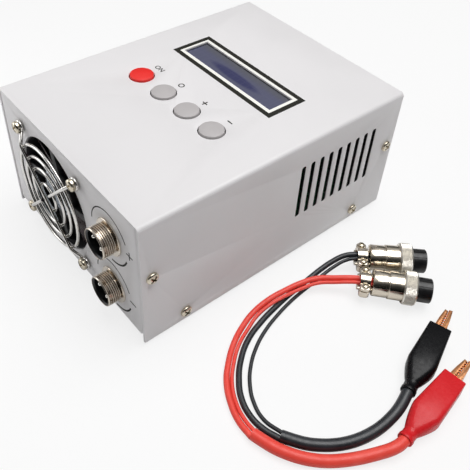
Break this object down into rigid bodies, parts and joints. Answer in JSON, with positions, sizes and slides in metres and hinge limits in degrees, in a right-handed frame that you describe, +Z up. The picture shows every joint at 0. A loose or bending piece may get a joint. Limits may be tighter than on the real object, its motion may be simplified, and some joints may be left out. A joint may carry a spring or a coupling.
{
  "type": "battery capacity tester",
  "caption": "Bench battery tester: folded steel case with a cooling fan and round sockets in front, display and push buttons on top, and clip leads beside it.",
  "frame": {"origin": "on the table, under the middle of the tester's own box (the leads and what is on them left out)", "axes": "+X to the right for someone who faces the fan, +Y from the fan panel to the back panel, +Z up"},
  "size_m": [0.2288, 0.1664, 0.0757],
  "materials": {
    "case_paint": "light grey satin powder coat",
    "screw_steel": "bright zinc plating",
    "foot_rubber": "matt black",
    "fan_plastic": "matt black moulding",
    "bearing_bronze": "sintered bronze",
    "shaft_steel": "ground steel",
    "guard_chrome": "bright plated wire",
    "nickel_plate": "satin nickel plate",
    "contact_silver": "silver plated",
    "insulator_black": "black moulding",
    "lcd_bezel": "black stamped steel",
    "lcd_glass": "blue negative display",
    "lcd_diffuser": "white light guide",
    "board_green": "green solder mask",
    "key_red": "semi gloss red",
    "key_grey": "semi gloss grey",
    "sink_aluminium": "plain extruded",
    "capacitor_blue": "dark blue shrink sleeve",
    "shunt_alloy": "bare resistance wire",
    "ribbon_grey": "grey flat cable",
    "pvc_red": "soft red insulation",
    "pvc_black": "soft black insulation",
    "boot_red": "soft glossy red",
    "boot_black": "soft glossy black",
    "jaw_copper": "copper plated steel"
  },
  "bodies": {
    "tester": {"chassis": "case_paint", "cover": "case_paint", "cover_screws": "screw_steel", "fan_screws": "screw_steel", "fan_nuts": "screw_steel", "board_screws": "screw_steel", "clamp_screws": "screw_steel", "clip_pins": "screw_steel", "display_studs": "screw_steel", "board_spacers": "screw_steel", "feet": "foot_rubber", "fan_frame": "fan_plastic", "fan_bearing": "bearing_bronze", "red_clip_spring": "shaft_steel", "black_clip_spring": "shaft_steel", "fan_guard": "guard_chrome", "positive_socket": "nickel_plate", "negative_socket": "nickel_plate", "socket_nuts": "nickel_plate", "plug_clamps": "nickel_plate", "red_plug_body": "nickel_plate", "black_plug_body": "nickel_plate", "socket_pins": "contact_silver", "socket_inserts": "insulator_black", "plug_inserts": "insulator_black", "key_switches": "insulator_black", "dc_jack": "insulator_black", "transistors": "insulator_black", "lcd_frame": "lcd_bezel", "lcd_glass": "lcd_glass", "lcd_backlight": "lcd_diffuser", "display_board": "board_green", "main_board": "board_green", "heatsink": "sink_aluminium", "capacitors": "capacitor_blue", "shunt_resistor": "shunt_alloy", "ribbon_cable": "ribbon_grey", "socket_wires_red": "pvc_red", "red_power_wire": "pvc_red", "red_sense_wire": "pvc_red", "red_sleeve": "pvc_red", "socket_wires_black": "pvc_black", "fan_wire": "pvc_black", "black_power_wire": "pvc_black", "black_sense_wire": "pvc_black", "black_sleeve": "pvc_black", "red_clip_boot": "boot_red", "black_clip_boot": "boot_black", "clip_fixed_jaws": "jaw_copper"},
    "fan": {"fan_rotor": "fan_plastic", "fan_shaft": "shaft_steel"},
    "on_key": {"button_on": "key_red"},
    "set_key": {"button_set": "key_grey"},
    "increase_key": {"button_increase": "key_grey"},
    "decrease_key": {"button_decrease": "key_grey"},
    "red_ring": {"red_plug_ring": "nickel_plate"},
    "black_ring": {"black_plug_ring": "nickel_plate"},
    "red_jaw": {"red_clip_jaw": "jaw_copper"},
    "black_jaw": {"black_clip_jaw": "jaw_copper"}
  },
  "joints": [
    {"name": "fan_spin", "type": "hinge", "parent": "tester", "child": "fan", "pos_m": [-0.0129, -0.0758, 0.0396], "axis": [0, -1, 0], "continuous": true},
    {"name": "on_press", "type": "slide", "parent": "tester", "child": "on_key", "axis": [0, 0, -1], "range_m": [0, 0.0005], "stiffness_N_per_m": 3000},
    {"name": "set_press", "type": "slide", "parent": "tester", "child": "set_key", "axis": [0, 0, -1], "range_m": [0, 0.0005], "stiffness_N_per_m": 3000},
    {"name": "increase_press", "type": "slide", "parent": "tester", "child": "increase_key", "axis": [0, 0, -1], "range_m": [0, 0.0005], "stiffness_N_per_m": 3000},
    {"name": "decrease_press", "type": "slide", "parent": "tester", "child": "decrease_key", "axis": [0, 0, -1], "range_m": [0, 0.0005], "stiffness_N_per_m": 3000},
    {"name": "red_ring_turn", "type": "hinge", "parent": "tester", "child": "red_ring", "pos_m": [0.11464, 0.0397, 0.0086], "axis": [0.7547, 0.6561, 0], "continuous": true},
    {"name": "black_ring_turn", "type": "hinge", "parent": "tester", "child": "black_ring", "pos_m": [0.10135, 0.05206, 0.0086], "axis": [0.682, 0.7314, 0], "continuous": true},
    {"name": "red_jaw_open", "type": "hinge", "parent": "tester", "child": "red_jaw", "pos_m": [0.15926, 0.00983, 0.0051], "axis": [0, 0, 1], "range_deg": [0, 14], "stiffness_Nm_per_rad": 0.05, "springref_deg": -22.92, "deforming": ["red_clip_spring"]},
    {"name": "black_jaw_open", "type": "hinge", "parent": "tester", "child": "black_jaw", "pos_m": [0.14044, 0.02665, 0.0051], "axis": [0, 0, 1], "range_deg": [0, 14], "stiffness_Nm_per_rad": 0.05, "springref_deg": -22.92, "deforming": ["black_clip_spring"]}
  ]
}
